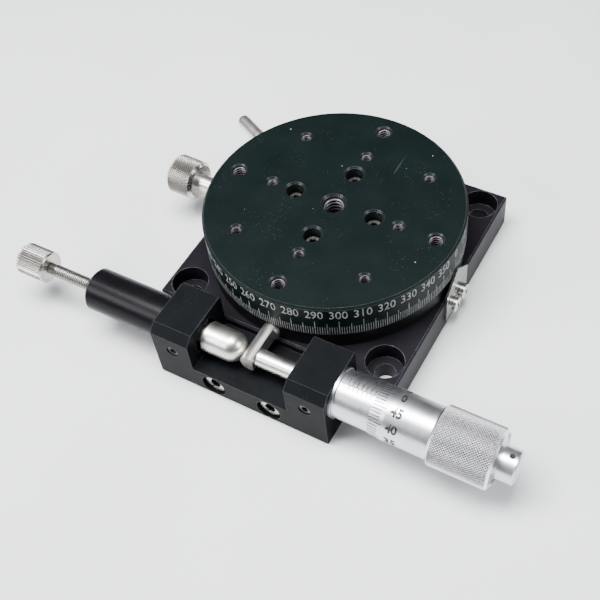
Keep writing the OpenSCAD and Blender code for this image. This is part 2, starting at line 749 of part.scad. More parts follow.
// A coil spring between seat and plunger, its round wire swept along a helix.
module plunger_spring() {
  mean_r = plunger_r - spring_wire_d / 2 - 0.2;
  wire_r = spring_wire_d / 2;
  start = seat_x + wire_r + 0.02;
  length = plunger_rear_x - start - wire_r - 0.02;
  steps = ceil(spring_turns * 20);
  sides = 8;
  points = [for (i = [0 : steps], k = [0 : sides - 1])
    let (turn = 360 * spring_turns * i / steps, a = 360 * k / sides, r = mean_r + wire_r * cos(a))
    [r * cos(turn), r * sin(turn), length * i / steps + wire_r * sin(a)]];
  walls = [for (i = [0 : steps - 1], k = [0 : sides - 1])
    let (a = i * sides + k, b = i * sides + (k + 1) % sides) [a, a + sides, b + sides, b]];
  ends = [[for (k = [0 : sides - 1]) k], [for (k = [sides - 1 : -1 : 0]) steps * sides + k]];
  color("#b7babd") on_drive(start) polyhedron(points = points, faces = concat(walls, ends), convexity = 8);
}

// The disc that the screw pushes, with a spigot inside the spring.
module spring_seat() {
  seat_r = plunger_r - 0.15;
  spigot_end = seat_x + spring_spigot_l;
  color("#a8abaf") on_drive()
    turned([[0, seat_rear_x], [seat_r, seat_rear_x], [seat_r, seat_x], [spring_spigot_r, seat_x],
            [spring_spigot_r, spigot_end], [0, spigot_end]]);
}

module preload_screw() {
  thread_r = preload_screw_d / 2;
  neck_r = thread_r - 0.15;
  neck_l = 1.9;
  tip_x = seat_rear_x - contact_gap;
  tang_x = preload_knob_x - preload_knob_l + knob_floor + screw_end_gap;
  color("#c6c8cb") on_drive()
    turned([[0, tang_x], [neck_r, tang_x], [neck_r, preload_knob_x + neck_l],
            [thread_r, preload_knob_x + neck_l], [thread_r, tip_x - screw_tip_chamfer],
            [thread_r - screw_tip_chamfer, tip_x], [0, tip_x]]);
}

// A knob with bevelled ends and straight V grooves round it, drilled for its screw.
module preload_knob() {
  knob_r = preload_knob_d / 2;
  groove_depth = 0.25;
  groove_side = groove_depth * sqrt(2);
  bevel = 0.7;
  l = preload_knob_l;
  hole_r = preload_screw_d / 2 - 0.15 + fit;
  color("#cbcbc7") on_drive(preload_knob_x - l) difference() {
    turned([[0, 0], [knob_r - bevel, 0], [knob_r, bevel], [knob_r, l - bevel], [knob_r - bevel, l],
            [hole_r, l], [hole_r, knob_floor], [0, knob_floor]]);
    on_circle(knob_r, preload_knob_grooves) translate([0, 0, l / 2]) rotate([0, 0, 45])
      cube([groove_side, groove_side, 2 * l], center = true);
  }
}

base_plate();
bearing_outer_race();
bearing_balls();
bearing_cage();
bearing_inner_race();
bearing_retainer();
hub_nut();
table_hub();
table_plate();
table_screws();
handle_rod();
fine_ring();
tangent_pin();
lock_shoe();
lock_screw();
lock_knob();
drive_bracket();
bracket_screws();
set_screws();
index_plate();
index_screws();
micrometer_sleeve();
micrometer_nut();
spindle();
thimble();
thimble_grip();
end_cap();
plunger_housing();
plunger();
plunger_spring();
spring_seat();
preload_screw();
preload_knob();
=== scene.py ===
import math

import bmesh
import bpy
import numpy as np
from mathutils import Matrix, Vector


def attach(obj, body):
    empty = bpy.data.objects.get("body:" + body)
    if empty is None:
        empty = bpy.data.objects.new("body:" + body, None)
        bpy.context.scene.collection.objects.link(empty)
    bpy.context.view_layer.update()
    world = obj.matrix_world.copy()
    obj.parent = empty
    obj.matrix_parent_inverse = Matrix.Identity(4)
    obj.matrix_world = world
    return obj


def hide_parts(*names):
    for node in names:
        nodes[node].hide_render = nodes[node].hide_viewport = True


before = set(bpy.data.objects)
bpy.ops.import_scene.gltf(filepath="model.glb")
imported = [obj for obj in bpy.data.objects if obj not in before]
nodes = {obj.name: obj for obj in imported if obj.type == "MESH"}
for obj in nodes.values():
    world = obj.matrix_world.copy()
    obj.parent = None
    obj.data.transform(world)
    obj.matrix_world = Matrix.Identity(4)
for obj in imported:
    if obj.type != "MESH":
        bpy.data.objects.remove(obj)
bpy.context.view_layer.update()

MM = 0.001
TAU = 2 * math.pi

# Places on the stage, in millimetres.
DRIVE_Y, DRIVE_Z = -37.2, 11.2
TABLE_R, TABLE_TOP, TABLE_FOOT = 29.8, 22.5, 13.5
SLEEVE_R, THIMBLE_R = 5.3, 5.75
THIMBLE_EDGE, THIMBLE_EDGE_R, THIMBLE_BEVEL = 29.65, 5.5, 3.2
ZERO_MARK = 23.18
CAP_R, CAP_HOLE_X = 3.65, 58.375
BRACKET_HEAD_Y, HUB_HEAD_Z = -43.2, 19.7

# Angles about the micrometer's axis, from +Y towards +Z, and the thimble's divisions.
DATUM = math.radians(95)
THIMBLE_ZERO = math.radians(76)
DIVISIONS = 50

# Points this close are one point, and edges this short have no length, in metres.
SAME_POINT, NO_LENGTH = 2e-7, 1e-8

# Colours that several finishes share.
DUST = (0.52, 0.55, 0.55)
PIT = (0.20, 0.18, 0.16)
IN_SHADE = (0.012, 0.012, 0.012)


# ---------------------------------------------------------------- shapes

def spread(mesh_name, points, faces, cut=None):
    """A mesh from an array of points in millimetres and an array of faces. If given, cut is kept with the
    points: how far each is taken in towards its axis, as a share of the most."""
    mesh = bpy.data.meshes.new(mesh_name)
    mesh.from_pydata((points.reshape(-1, 3) * MM).tolist(), [], faces.tolist())
    if cut is not None:
        shares = mesh.attributes.new("cut", "FLOAT", "POINT")
        shares.data.foreach_set("value", cut.ravel().astype(np.float32))
    piece = bpy.data.objects.new(mesh_name, mesh)
    bpy.context.scene.collection.objects.link(piece)
    return piece


def closed_up(piece, smooth=True):
    """Merges the points that meet at seams and poles, drops faces with no area and turns all faces
    outwards."""
    work = bmesh.new()
    work.from_mesh(piece.data)
    bmesh.ops.remove_doubles(work, verts=work.verts, dist=SAME_POINT)
    bmesh.ops.dissolve_degenerate(work, edges=work.edges, dist=NO_LENGTH)
    bmesh.ops.recalc_face_normals(work, faces=work.faces)
    work.to_mesh(piece.data)
    work.free()
    piece.data.polygons.foreach_set("use_smooth", np.full(len(piece.data.polygons), smooth))
    return piece


def woven_faces(rows, columns, wrap_rows):
    """Quads between neighbouring rows and columns of a grid. The last column always joins the first, the
    last row only if rows are wrapped."""
    row = np.arange(rows if wrap_rows else rows - 1)[:, None]
    column = np.arange(columns)[None, :]
    up, over = (row + 1) % rows, (column + 1) % columns
    corners = [row * columns + column, row * columns + over,
               up * columns + over, up * columns + column]
    return np.stack(np.broadcast_arrays(*corners), -1).reshape(-1, 4)


def on_drive(r, angle, along):
    """Points about the micrometer's axis: along is X, and Y and Z leave the axis by the radius times the
    cosine and the sine of the angle."""
    parts = np.broadcast_arrays(along, DRIVE_Y + r * np.cos(angle), DRIVE_Z + r * np.sin(angle))
    return np.stack(parts, -1)


def on_spoke(degrees):
    """Points about a spoke of the table at the drive's height: the radius times the cosine goes square to
    the spoke in the plane, the radius times the sine goes up."""
    c, s = math.cos(math.radians(degrees)), math.sin(math.radians(degrees))

    def place(r, angle, along):
        side = r * np.cos(angle)
        height = DRIVE_Z + r * np.sin(angle)
        parts = np.broadcast_arrays(along * c - side * s, along * s + side * c, height)
        return np.stack(parts, -1)
    return place


def on_upright(x, y, top):
    """Points about an upright axis at x, y, with along measured down from top."""
    def place(r, angle, along):
        parts = np.broadcast_arrays(x + r * np.cos(angle), y + r * np.sin(angle), top - along)
        return np.stack(parts, -1)
    return place


def lathe(name, profile, place, around, relief=None, loop=False, smooth=True):
    """A profile of (radius, along, cut) carried round an axis. The radius at each angle is the profile's
    radius less its cut share times relief(angle, along). A looped profile joins its end to its start."""
    radius, along, cut = (np.asarray(column, float)[:, None] for column in zip(*profile))
    angle = np.arange(around)[None, :] * TAU / around
    depth = cut * relief(angle, along) if relief else np.zeros((len(profile), around))
    points = place(radius - depth, angle, along + 0 * angle)
    deepest = depth.max() or 1.0
    faces = woven_faces(len(profile), around, loop)
    return closed_up(spread(name, points, faces, depth / deepest), smooth)


def diamond_knurl(count, start, pitch, depth, rounding=1.4):
    """Two families of V grooves that cross: each is a triangle wave, 1 at a groove and 0 at a crest, with
    phases angle * count / turn plus and minus (along - start) / pitch. The deeper of the two cuts, raised
    to a power that flattens the crests, times the depth."""
    def relief(angle, along):
        turn, row = angle * count / TAU, (along - start) / pitch
        left = np.abs(2 * np.mod(turn + row, 1) - 1)
        right = np.abs(2 * np.mod(turn - row, 1) - 1)
        return depth * np.maximum(left, right) ** rounding
    return relief


def knurled_rows(low, high, pitch, steps, r, fade=0.12):
    """Rows of a knurled band: a whole number of steps to each pitch. The cut share rises from 0 to 1 over
    the fade at both ends."""
    count = int(round((high - low) / pitch * steps))
    rows = np.linspace(low, high, count + 1)
    return [(r, x, min(1.0, (x - low) / fade, (high - x) / fade)) for x in rows]


def screw_thread(pitch, depth, steep=1.3, flat=0.15):
    """A helix: the triangle wave of along / pitch less the share of a turn, made steeper, lowered by the
    flat's share and cut off at 0 and 1, so that crest and root are flat. Times the depth."""
    def relief(angle, along):
        wave = np.abs(2 * np.mod(along / pitch - angle / TAU, 1) - 1)
        return depth * np.clip(steep * wave - flat, 0, 1)
    return relief


def marks(name, strips, radius_at, place, proud=0.012, sunk=0.02):
    """Thin closed strips laid on a turned surface. Each is (angle from, angle to, along from, along to).
    Four corners lie sunk under the surface's radius there, and four stand proud of it."""
    s = np.asarray(strips, float)
    corner_angle = s[:, [0, 1, 1, 0]]
    corner_along = s[:, [2, 2, 3, 3]]
    surface = radius_at(corner_along)
    inner = place(surface - sunk, corner_angle, corner_along)
    outer = place(surface + proud, corner_angle, corner_along)
    points = np.concatenate([inner, outer], 1)
    block = np.array([[0, 3, 2, 1], [4, 5, 6, 7], [0, 1, 5, 4], [1, 2, 6, 5], [2, 3, 7, 6], [3, 0, 4, 7]])
    first_corner = np.arange(len(s))[:, None, None] * points.shape[1]
    faces = (first_corner + block[None]).reshape(-1, 4)
    return closed_up(spread(name, points, faces), smooth=False)


def figure(text, width, height, bold):
    """The corners and faces of a number as a flat slab: each corner less the middle of the whole, divided
    by the whole's size and multiplied by width and height."""
    curve = bpy.data.curves.new("figure", "FONT")
    curve.body = text
    curve.resolution_u = 3
    curve.extrude = 0.5
    curve.offset = bold
    holder = bpy.data.objects.new("figure", curve)
    bpy.context.scene.collection.objects.link(holder)
    bpy.context.view_layer.update()
    mesh = holder.to_mesh()
    co = np.empty(len(mesh.vertices) * 3)
    mesh.vertices.foreach_get("co", co)
    co = co.reshape(-1, 3)
    mesh.calc_loop_triangles()
    faces = np.empty(len(mesh.loop_triangles) * 3, int)
    mesh.loop_triangles.foreach_get("vertices", faces)
    faces = faces.reshape(-1, 3)
    holder.to_mesh_clear()
    bpy.data.objects.remove(holder)
    bpy.data.curves.remove(curve)
    low, high = co.min(0), co.max(0)
    co[:, 0] = (co[:, 0] - (low[0] + high[0]) / 2) / (high[0] - low[0]) * width
    co[:, 1] = (co[:, 1] - (low[1] + high[1]) / 2) / (high[1] - low[1]) * height
    return co, faces


def figures(name, items, radius_at, place, along_reads, bold=0.0, proud=0.014, sunk=0.02):
    """Numbers bent round a turned surface. Items are (text, angle, along, width, height). If along_reads,
    the text runs along the axis and its top points to falling angles; otherwise it runs round the axis and
    its top points along it. Lengths round the axis become angles when divided by the radius there."""
    points, faces, start = [], [], 0
    for text, angle, along, width, height in items:
        flat, shape = figure(text, width, height, bold)
        across, up = flat[:, 0], flat[:, 1]
        mid = radius_at(np.array([along]))[0]
        if along_reads:
            turned, moved = angle - up / mid, along + across
        else:
            turned, moved = angle + across / mid, along + up
        r = radius_at(moved) + np.where(flat[:, 2] > 0, proud, -sunk)
        points.append(place(r, turned, moved))
        faces.append(shape + start)
        start += len(flat)
    return closed_up(spread(name, np.concatenate(points), np.concatenate(faces)), smooth=False)


# ---------------------------------------------------------------- finishes

class Finish:
    """A material under construction. Each call adds nodes and returns their output, or links one up."""

    def __init__(self, name, metal=0.0):
        self.material = bpy.data.materials.new(name)
        self.material.use_nodes = True
        self.tree = self.material.node_tree
        self.shader = self.tree.nodes["Principled BSDF"]
        self.shader.inputs["Metallic"].default_value = metal
        coords = self.tree.nodes.new("ShaderNodeTexCoord")
        self.place = coords.outputs["Object"]

    def link(self, source, target):
        """Joins an output to an input."""
        self.tree.links.new(source, target)

    def stretched(self, scale):
        """The place on the surface with each axis scaled: below 1 draws the pattern out along it."""
        node = self.tree.nodes.new("ShaderNodeMapping")
        node.inputs["Scale"].default_value = scale
        self.link(self.place, node.inputs["Vector"])
        return node.outputs["Vector"]

    def noise(self, scale, detail=3.0, roughness=0.55, vector=None):
        """Cloudy noise from 0 to 1, with this many waves to a metre."""
        node = self.tree.nodes.new("ShaderNodeTexNoise")
        node.inputs["Scale"].default_value = scale
        node.inputs["Detail"].default_value = detail
        node.inputs["Roughness"].default_value = roughness
        self.link(vector or self.place, node.inputs["Vector"])
        return node.outputs["Fac"]

    def cut(self):
        """How far the surface is taken in towards its axis here, from 0 to 1 for the most: a groove on an
        outside, and a thread's crest in a hole."""
        node = self.tree.nodes.new("ShaderNodeAttribute")
        node.attribute_name = "cut"
        return node.outputs["Fac"]

    def from_upright_axis(self):
        """The distance from the table's own axis."""
        flat = self.tree.nodes.new("ShaderNodeVectorMath")
        flat.operation = "MULTIPLY"
        flat.inputs[1].default_value = (1.0, 1.0, 0.0)
        self.link(self.place, flat.inputs[0])
        node = self.tree.nodes.new("ShaderNodeVectorMath")
        node.operation = "LENGTH"
        self.link(flat.outputs["Vector"], node.inputs[0])
        return node.outputs["Value"]

    def measured(self, axis):
        """The place on the surface along X, Y or Z, in metres."""
        node = self.tree.nodes.new("ShaderNodeSeparateXYZ")
        self.link(self.place, node.inputs["Vector"])
        return node.outputs[axis]

    def cells(self, scale):
        """The distance to the nearest of scattered points: small discs where it is cut off low."""
        node = self.tree.nodes.new("ShaderNodeTexVoronoi")
        node.inputs["Scale"].default_value = scale
        self.link(self.place, node.inputs["Vector"])
        return node.outputs["Distance"]

    def ranged(self, value, low, high, out_low=0.0, out_high=1.0):
        """A value's range from low to high carried to another range and held at its ends."""
        node = self.tree.nodes.new("ShaderNodeMapRange")
        node.inputs["From Min"].default_value = low
        node.inputs["From Max"].default_value = high
        node.inputs["To Min"].default_value = out_low
        node.inputs["To Max"].default_value = out_high
        self.link(value, node.inputs["Value"])
        return node.outputs["Result"]

    def worked(self, operation, a, b):
        """Arithmetic on two values, each a number or an output."""
        node = self.tree.nodes.new("ShaderNodeMath")
        node.operation = operation
        for slot, value in zip(node.inputs, (a, b)):
            if isinstance(value, (int, float)):
                slot.default_value = value
            else:
                self.link(value, slot)
        return node.outputs["Value"]

    def mixed(self, share, a, b):
        """Colour a where the share is 0 and colour b where it is 1, each a colour or an output."""
        node = self.tree.nodes.new("ShaderNodeMix")
        node.data_type = "RGBA"
        self.link(share, node.inputs["Factor"])
        for slot, value in ((node.inputs["A"], a), (node.inputs["B"], b)):
            if isinstance(value, tuple):
                slot.default_value = (*value, 1)
            else:
                self.link(value, slot)
        return node.outputs["Result"]

    def worn_edges(self, radius, low=0.02, high=0.16):
        """Where the rounded normal leaves the true one: the share of bare metal at edges."""
        bevel = self.tree.nodes.new("ShaderNodeBevel")
        bevel.samples = 4
        bevel.inputs["Radius"].default_value = radius * MM
        here = self.tree.nodes.new("ShaderNodeNewGeometry")
        dot = self.tree.nodes.new("ShaderNodeVectorMath")
        dot.operation = "DOT_PRODUCT"
        self.link(bevel.outputs["Normal"], dot.inputs[0])
        self.link(here.outputs["True Normal"], dot.inputs[1])
        return self.ranged(self.worked("SUBTRACT", 1.0, dot.outputs["Value"]), low, high)

    def bumped(self, height, distance, strength=1.0):
        """Fine relief in the shading alone, with its distance in millimetres."""
        node = self.tree.nodes.new("ShaderNodeBump")
        node.inputs["Strength"].default_value = strength
        node.inputs["Distance"].default_value = distance * MM
        self.link(height, node.inputs["Height"])
        self.link(node.outputs["Normal"], self.shader.inputs["Normal"])

    def colour(self, value):
        """Links the colour."""
        self.link(value, self.shader.inputs["Base Color"])

    def roughness(self, value):
        """Links the roughness."""
        self.link(value, self.shader.inputs["Roughness"])


def specks(f, scale, low, high, share, amount):
    """Small discs of dust, from cut-off cells, where a noise lets them be."""
    discs = f.ranged(f.cells(scale), low, high)
    return f.worked("MULTIPLY", f.worked("MULTIPLY", discs, share), amount)


def anodised(name, dark, light, worn, rough, dust=0.0, wear=0.45, shine=0.14, wear_from=None):
    """Bead-blasted anodised aluminium: cloudy tone, fine grain, faint long scratches, dust specks and pale
    edges. Edges nearer to the table's axis than wear_from aren't worn."""
    f = Finish(name)
    cloud = f.ranged(f.noise(scale=130, detail=5), 0.3, 0.75)
    grain = f.noise(scale=5200, detail=2)
    tone = f.mixed(cloud, dark, light)
    along_y = f.stretched((1.0, 0.035, 1.0))
    scratch = f.ranged(f.noise(scale=900, detail=1, roughness=0.5, vector=along_y), 0.735, 0.76)
    patch = f.ranged(f.noise(scale=70, detail=2), 0.5, 0.6, 0.0, 0.10)
    tone = f.mixed(f.worked("MULTIPLY", scratch, patch), tone, worn)
    uneven = f.ranged(f.noise(scale=700, detail=3), 0.35, 0.7, 0.2, wear)
    edge = f.worked("MULTIPLY", f.worn_edges(radius=0.2), uneven)
    if wear_from:
        outside = f.ranged(f.from_upright_axis(), wear_from * MM, (wear_from + 0.3) * MM)
        edge = f.worked("MULTIPLY", edge, outside)
    tone = f.mixed(edge, tone, worn)
    if dust:
        rare = f.ranged(f.noise(scale=430, detail=1), 0.66, 0.68)
        coarse_dust = specks(f, scale=620, low=0.085, high=0.055, share=rare, amount=dust)
        tone = f.mixed(coarse_dust, tone, DUST)
        patch = f.ranged(f.noise(scale=160, detail=2), 0.5, 0.62, 0.0, 0.12)
        fine_dust = specks(f, scale=1500, low=0.13, high=0.09, share=patch, amount=dust)
        tone = f.mixed(fine_dust, tone, DUST)
    f.colour(tone)
    f.roughness(f.worked("ADD", f.ranged(cloud, 0, 1, rough - 0.02, rough + 0.03),
                         f.ranged(grain, 0.3, 0.7, -0.04, 0.04)))
    f.bumped(grain, distance=0.006, strength=0.6)
    f.shader.inputs["Specular IOR Level"].default_value = shine
    return f.material


def bright_metal(name, dark, light, rough, lines=(1.0, 1.0, 1.0), line_scale=2600, stain=0.12,
                 relief=0.0025):
    """Turned or ground metal: fine lines along one direction, faint tarnish, and small dark pits here and
    there."""
    f = Finish(name, metal=1.0)
    fine = f.noise(scale=line_scale, detail=2, roughness=0.5, vector=f.stretched(lines))
    cloud = f.ranged(f.noise(scale=170, detail=3), 0.25, 0.8)
    tone = f.mixed(cloud, light, dark)
    pits = f.ranged(f.cells(scale=1100), 0.10, 0.06)
    rare = f.ranged(f.noise(scale=380, detail=1), 0.62, 0.68, 0.0, stain)
    f.colour(f.mixed(f.worked("MULTIPLY", pits, rare), tone, PIT))
    f.roughness(f.worked("ADD", f.ranged(fine, 0.3, 0.7, rough - 0.03, rough + 0.04),
                         f.ranged(cloud, 0, 1, -0.01, 0.03)))
    f.bumped(fine, distance=relief, strength=0.4)
    return f.material


def knurled_metal(name, dark, light, groove, rough):
    """Cut metal: bright crests, and grooves painted darker as shade."""
    f = Finish(name, metal=1.0)
    tone = f.mixed(f.ranged(f.noise(scale=170, detail=3), 0.25, 0.8), light, dark)
    depth = f.worked("ADD", f.cut(), f.ranged(f.noise(scale=2600, detail=2), 0.3, 0.7, -0.12, 0.12))
    # Painted shade: the grooves take the dark groove colour.
    f.colour(f.mixed(f.ranged(depth, 0.25, 0.95), tone, groove))
    f.roughness(f.ranged(depth, 0.0, 1.0, rough, rough + 0.18))
    f.bumped(f.noise(scale=3600, detail=2), distance=0.002, strength=0.4)
    return f.material


def tapped_metal(name, crest, root, deep, top):
    """A cut thread in a hole, with painted light. Its crests, where cut is 1, stand furthest in and are
    painted bright as a highlight. Its roots are painted dark as shade, and all of it grows as dark as them
    over the depth deep under the top, as painted shade in the hole."""
    f = Finish(name, metal=0.6)
    depth = f.worked("ADD", f.cut(), f.ranged(f.noise(scale=1900, detail=2), 0.3, 0.7, -0.10, 0.10))
    # Painted highlight on the crests and painted shade in the roots.
    tone = f.mixed(f.ranged(depth, 0.45, 0.85), root, crest)
    # Painted shade: darker with depth under the top of the hole.
    shade = f.ranged(f.measured("Z"), (top - deep) * MM, top * MM, 1.0, 0.0)
    f.colour(f.mixed(shade, tone, root))
    f.roughness(f.ranged(depth, 0.0, 1.0, 0.6, 0.32))
    f.bumped(f.noise(scale=4200, detail=2), distance=0.002, strength=0.4)
    return f.material


def sunk_screw_metal(name, dark, light, rough, axis, face, floor):
    """Plated screws whose sockets are painted dark as shade from the head's face to the socket's floor,
    measured on one axis."""
    f = Finish(name, metal=1.0)
    tone = f.mixed(f.ranged(f.noise(scale=240, detail=3), 0.25, 0.8), light, dark)
    # Painted shade: the socket is coloured darker towards its floor.
    sunk = f.ranged(f.measured(axis), face * MM, floor * MM, 0.0, 1.0)
    f.colour(f.mixed(sunk, tone, IN_SHADE))
    f.roughness(f.ranged(f.noise(scale=1500, detail=2), 0.3, 0.7, rough - 0.03, rough + 0.04))
    f.bumped(f.noise(scale=2400, detail=2), distance=0.0006, strength=0.4)
    return f.material


def filled_mark(name, thin, full, rough=0.6):
    """Paint in an engraved line, thinner in places so the metal shows through."""
    f = Finish(name)
    f.colour(f.mixed(f.ranged(f.noise(scale=1300, detail=3), 0.34, 0.6), thin, full))
    f.roughness(f.ranged(f.noise(scale=2500, detail=2), 0.3, 0.7, rough - 0.08, rough + 0.1))
    f.bumped(f.noise(scale=4200, detail=2), distance=0.004, strength=0.5)
    f.shader.inputs["Specular IOR Level"].default_value = 0.15
    return f.material


def dress(material, *names):
    """Gives CAD nodes their finish through their own material slots."""
    for name in names:
        node = nodes[name]
        if not node.material_slots:
            node.data.materials.append(material)
        for slot in node.material_slots:
            slot.material = material


def finished(piece, material, body):
    """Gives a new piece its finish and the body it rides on."""
    piece.data.materials.clear()
    piece.data.materials.append(material)
    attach(piece, body)
    return piece


# Anodised parts.
table_black = anodised("table black", (0.0020, 0.0046, 0.0045), (0.0032, 0.0066, 0.0066),
                       (0.24, 0.24, 0.25), 0.46, dust=0.9, wear=0.45, shine=0.07, wear_from=28.5)
base_black = anodised("base black", (0.0046, 0.0042, 0.0060), (0.0078, 0.0070, 0.0100),
                      (0.26, 0.25, 0.29), 0.44, wear=0.8, shine=0.095)
bracket_black = anodised("bracket black", (0.0030, 0.0036, 0.0042), (0.0046, 0.0056, 0.0064),
                         (0.24, 0.24, 0.27), 0.44, dust=0.6, wear=0.3, shine=0.045)
housing_black = anodised("housing black", (0.0024, 0.0023, 0.0030), (0.0040, 0.0038, 0.0050),
                         (0.16, 0.15, 0.17), 0.30, shine=0.10)
ring_black = anodised("ring black", (0.0030, 0.0030, 0.0034), (0.0050, 0.0050, 0.0056),
                      (0.14, 0.14, 0.14), 0.4, shine=0.10)

# Cut and rolled metal.
satin = bright_metal("satin plating", (0.66, 0.67, 0.70), (0.76, 0.77, 0.80), 0.30, (1.0, 0.05, 0.05))
# The knurled and threaded parts' grooves are painted dark as shade.
knurled = knurled_metal("knurled plating", (0.84, 0.83, 0.86), (0.95, 0.94, 0.97),
                        (0.06, 0.058, 0.072), 0.26)
nickel = knurled_metal("knurled nickel", (0.43, 0.41, 0.38), (0.58, 0.56, 0.52), (0.10, 0.09, 0.085), 0.26)
rolled = knurled_metal("rolled thread", (0.30, 0.29, 0.27), (0.40, 0.39, 0.36), (0.05, 0.05, 0.046), 0.30)
polished = bright_metal("ground steel", (0.62, 0.60, 0.57), (0.80, 0.78, 0.75), 0.31, (1.0, 0.10, 0.10),
                        line_scale=1700, stain=0.5, relief=0.0001)
plated = bright_metal("screw plating", (0.56, 0.55, 0.51), (0.72, 0.71, 0.67), 0.26, line_scale=1100,
                      relief=0.0008)
# Screw plating whose sockets are painted dark as shade; the hub screws' darker tone is also painted shade
# for their deep counterbores.
bracket_screw_plate = sunk_screw_metal("bracket screw plating", (0.50, 0.49, 0.45), (0.66, 0.65, 0.61),
                                       0.26, "Y", BRACKET_HEAD_Y + 0.08, BRACKET_HEAD_Y + 0.8)
hub_screw_plate = sunk_screw_metal("hub screw plating", (0.36, 0.35, 0.33), (0.48, 0.47, 0.45),
                                   0.26, "Z", HUB_HEAD_Z - 0.08, HUB_HEAD_Z - 0.6)
pan_screw_plate = bright_metal("pan screw plating", (0.60, 0.58, 0.53), (0.84, 0.82, 0.77), 0.20,
                               line_scale=1100, stain=0.05, relief=0.0001)
dark_steel = bright_metal("black oxide", (0.05, 0.05, 0.055), (0.10, 0.10, 0.105), 0.38)
brass = bright_metal("brass", (0.45, 0.32, 0.12), (0.68, 0.50, 0.22), 0.27)
plate_steel = bright_metal("index plate steel", (0.18, 0.18, 0.172), (0.27, 0.27, 0.26), 0.28,
                           (1.0, 0.05, 1.0), relief=0.0006)

# Holes and engraved marks.
# Painted light in the tapped holes: crests painted bright as a highlight, roots and depth painted dark as
# shade.
thread_painted_light = tapped_metal("cut thread", (0.33, 0.30, 0.35), (0.004, 0.004, 0.005), 5.2, TABLE_TOP)
mouth_metal = anodised("cut chamfer", (0.0060, 0.0075, 0.0080), (0.0095, 0.0115, 0.0120),
                       (0.2, 0.2, 0.2), 0.34, wear=0.0, shine=0.30)
pale_fill = filled_mark("scale paint", (0.13, 0.14, 0.14), (0.31, 0.32, 0.31))
dark_fill = filled_mark("scale ink", (0.05, 0.05, 0.055), (0.010, 0.010, 0.012), 0.5)

dress(table_black, "table_plate")
dress(base_black, "base_plate")
dress(bracket_black, "drive_bracket")
dress(housing_black, "plunger_housing")
dress(ring_black, "fine_ring")
dress(satin, "micrometer_sleeve", "thimble", "end_cap")
dress(knurled, "thimble_grip")
dress(nickel, "lock_knob", "preload_knob")
dress(polished, "spindle", "plunger", "tangent_pin", "handle_rod", "lock_screw",
      "bearing_outer_race", "bearing_inner_race", "bearing_balls")
dress(bracket_screw_plate, "bracket_screws")
dress(hub_screw_plate, "table_screws")
dress(plated, "preload_screw", "plunger_spring", "spring_seat", "table_hub")
dress(pan_screw_plate, "index_screws")
dress(dark_steel, "set_screws", "hub_nut", "bearing_retainer")
dress(brass, "bearing_cage", "lock_shoe", "micrometer_nut")
dress(plate_steel, "index_plate")


# ---------------------------------------------------------------- table: scale and tapped holes

def upright_table(r, angle, along):
    """The table's own axis, with along as the height."""
    return np.stack(np.broadcast_arrays(r * np.cos(angle), r * np.sin(angle), along), -1)


def rim(along):
    """The table's radius at any height."""
    return np.full(np.shape(along), TABLE_R)


def table_scale():
    """One strip per degree from near the rim's lower edge, longer at each fifth and longest at each tenth.
    Its half angle is its half width divided by the table's radius."""
    plain, fifth, tenth = 2.5, 3.6, 4.4
    thin, thick, margin = 0.055, 0.075, 0.27
    degree = np.arange(360)
    half = np.where(degree % 5 == 0, thick, thin) / TABLE_R
    length = np.where(degree % 10 == 0, tenth, np.where(degree % 5 == 0, fifth, plain))
    angle = np.radians(degree)
    foot = np.full(len(degree), TABLE_FOOT + margin)
    strips = np.stack([angle - half, angle + half, foot, foot + length], 1)
    return marks("table_scale", strips, rim, upright_table)


def table_figures():
    """The tens round the rim, each centred over its mark."""
    widths = {1: 1.15, 2: 2.55, 3: 3.9}
    middle, tall = 20.45, 2.45
    items = [(str(d), math.radians(d), middle, widths[len(str(d))], tall) for d in range(0, 360, 10)]
    return figures("table_figures", items, rim, upright_table, along_reads=False)


def on_spokes(radius, first=0.0):
    """Four places on a circle round the table's axis, a quarter turn apart."""
    turn = first + np.arange(4) * TAU / 4
    return np.stack([radius * np.cos(turn), radius * np.sin(turn)], 1).tolist()


# Kinds of hole in the table: places, wall radius, chamfer, and the tap's pitch and thread depth or None.
TABLE_HOLES = [
    ([[0.0, 0.0]], 2.5, 0.5, (1.0, 0.42)),
    (on_spokes(25), 1.65, 0.35, (0.7, 0.30)),
    (on_spokes(16), 1.25, 0.35, (0.5, 0.21)),
    (on_spokes(16 * math.sqrt(2), TAU / 8), 1.25, 0.35, (0.5, 0.21)),
    (on_spokes(10), 2.02, 0.45, None),
]


def hole_mouths():
    """A thin cone on each hole's chamfer: four circles, two of them under the chamfer's surface and two
    standing proud of it."""
    circles, around = 4, 96
    under, under_drop = 0.01, 0.02
    proud, proud_drop = 0.012, 0.004
    angle = np.arange(around)[None, :] * TAU / around
    ring = woven_faces(circles, around, wrap_rows=True)
    points, faces = [], []
    for places, wall, chamfer, _ in TABLE_HOLES:
        mouth = wall + chamfer
        radius = np.array([mouth + under, wall + under, wall - proud, mouth - proud])[:, None]
        along = np.array([under_drop, chamfer + under_drop, chamfer + proud_drop, proud_drop])[:, None]
        for x, y in places:
            cone = on_upright(x, y, TABLE_TOP)(radius, angle, along + 0 * angle)
            faces.append(ring + len(points) * circles * around)
            points.append(cone.reshape(-1, 3))
    return closed_up(spread("hole_mouths", np.concatenate(points), np.concatenate(faces)), smooth=False)


